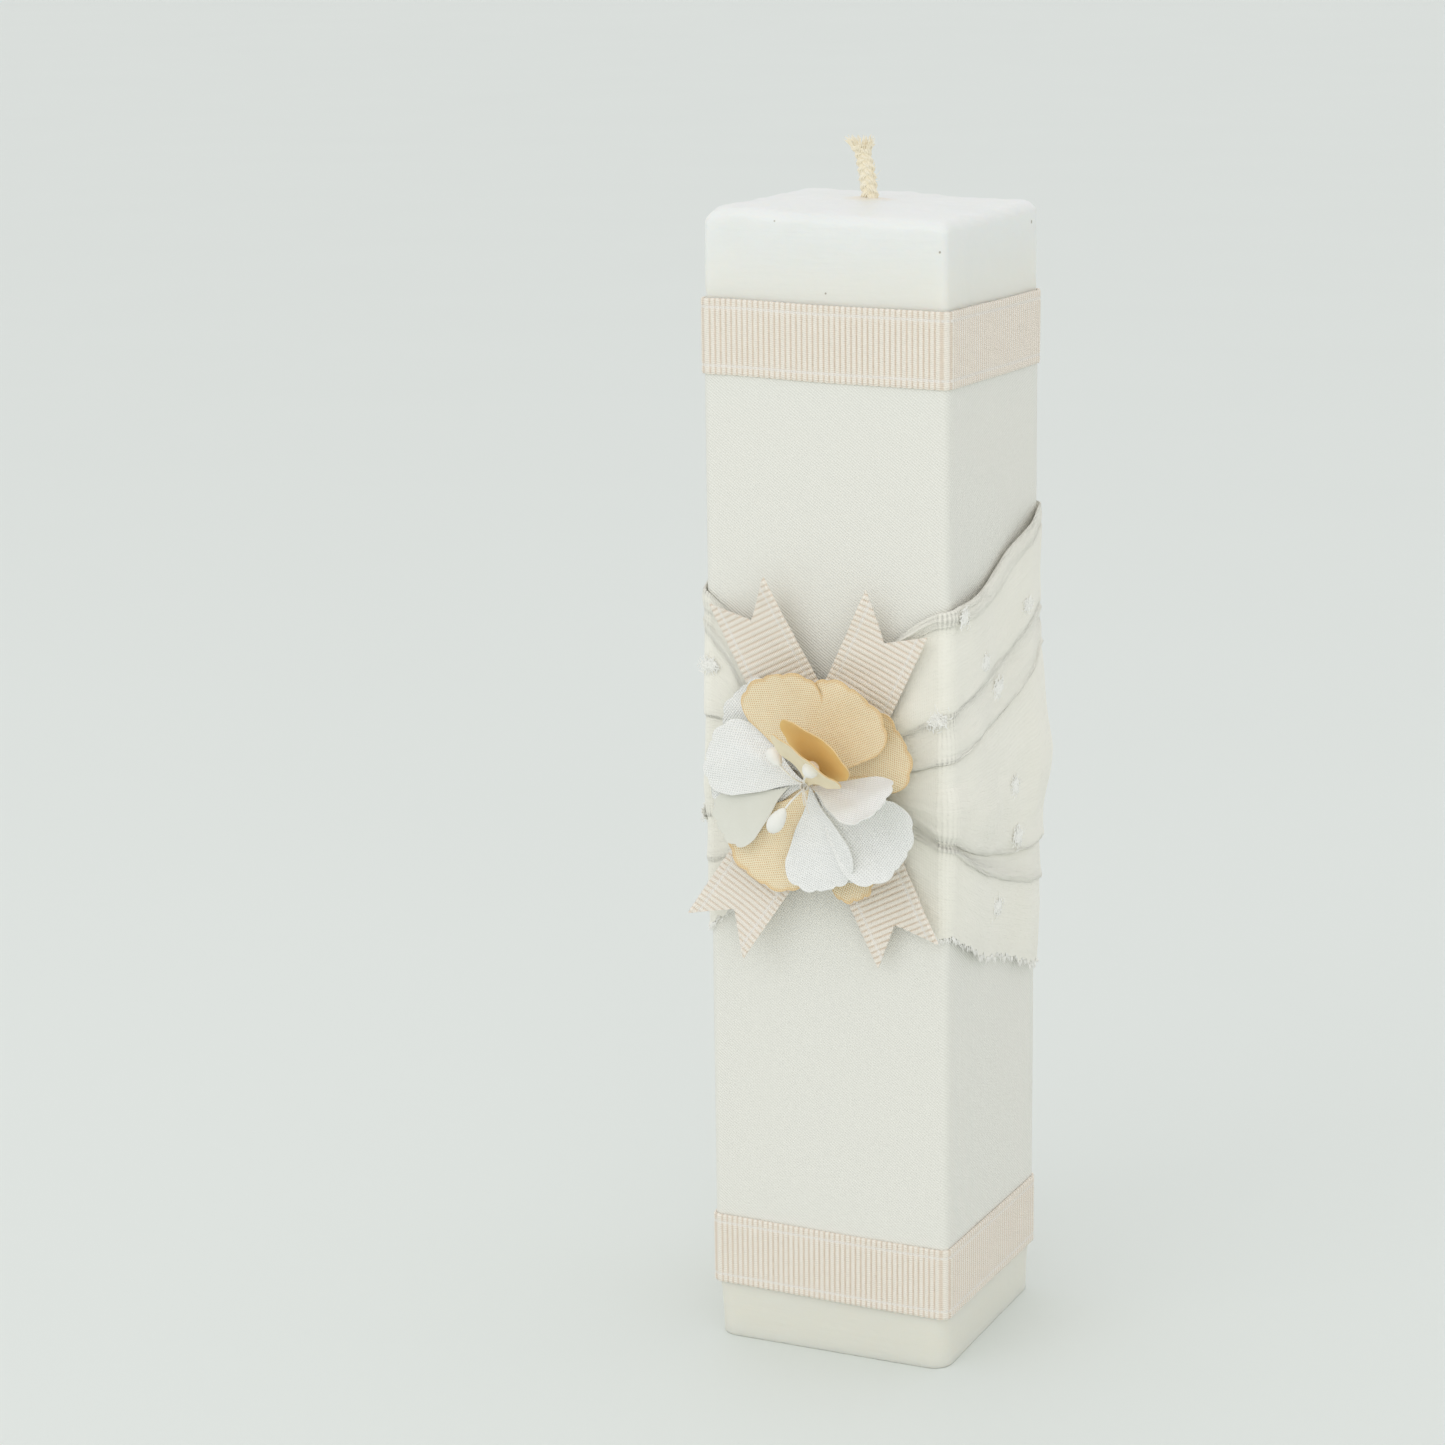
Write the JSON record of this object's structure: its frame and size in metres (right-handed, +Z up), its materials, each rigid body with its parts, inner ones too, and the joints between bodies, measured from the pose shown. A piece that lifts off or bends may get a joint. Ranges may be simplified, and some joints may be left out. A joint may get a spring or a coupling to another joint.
{
  "type": "unity candle",
  "caption": "Square pillar candle dressed in a satin sleeve with grosgrain ribbon bands, a gathered voile sash and a fabric flower on crossed ribbons.",
  "frame": {"origin": "middle of the candle's flat base", "axes": "+Z up along the candle, -Y out of the face that carries the flower, +X to the right when facing the flower"},
  "size_m": [0.0548, 0.0708, 0.2421],
  "materials": {
    "wax": "white paraffin wax, slightly translucent, satin",
    "wick_cotton": "braided undyed cotton, matte",
    "sustainer_metal": "tinned sheet steel",
    "satin": "off-white satin with a fine diagonal twill",
    "clear_tape": "thin double-sided tape",
    "blush_grosgrain": "blush grosgrain ribbon, ribbed across",
    "voile": "ivory clipped-dot voile, matte",
    "thread": "fine sewing thread",
    "hot_melt": "set hot-melt glue",
    "gold_cloth": "stiffened plain-weave cloth, honey gold",
    "white_cloth": "stiffened plain-weave cloth, white",
    "stamen_cotton": "dipped flower stamen, off-white, satin"
  },
  "bodies": {
    "root": {"wax_pillar": "wax", "wick": "wick_cotton", "wick_sustainer": "sustainer_metal", "satin_wrap": "satin", "satin_seam_tape": "clear_tape", "upper_ribbon_band": "blush_grosgrain", "lower_ribbon_band": "blush_grosgrain", "sash": "voile", "sash_tie_thread": "thread", "cross_ribbon_a": "blush_grosgrain", "cross_ribbon_b": "blush_grosgrain", "glue_pad": "hot_melt", "floret_gold_back": "gold_cloth", "floret_white_back": "white_cloth", "floret_gold_front": "gold_cloth", "floret_white_front": "white_cloth", "stamen_left": "stamen_cotton", "stamen_middle": "stamen_cotton", "stamen_lower": "stamen_cotton", "stamen_binding": "thread"}
  },
  "joints": []
}
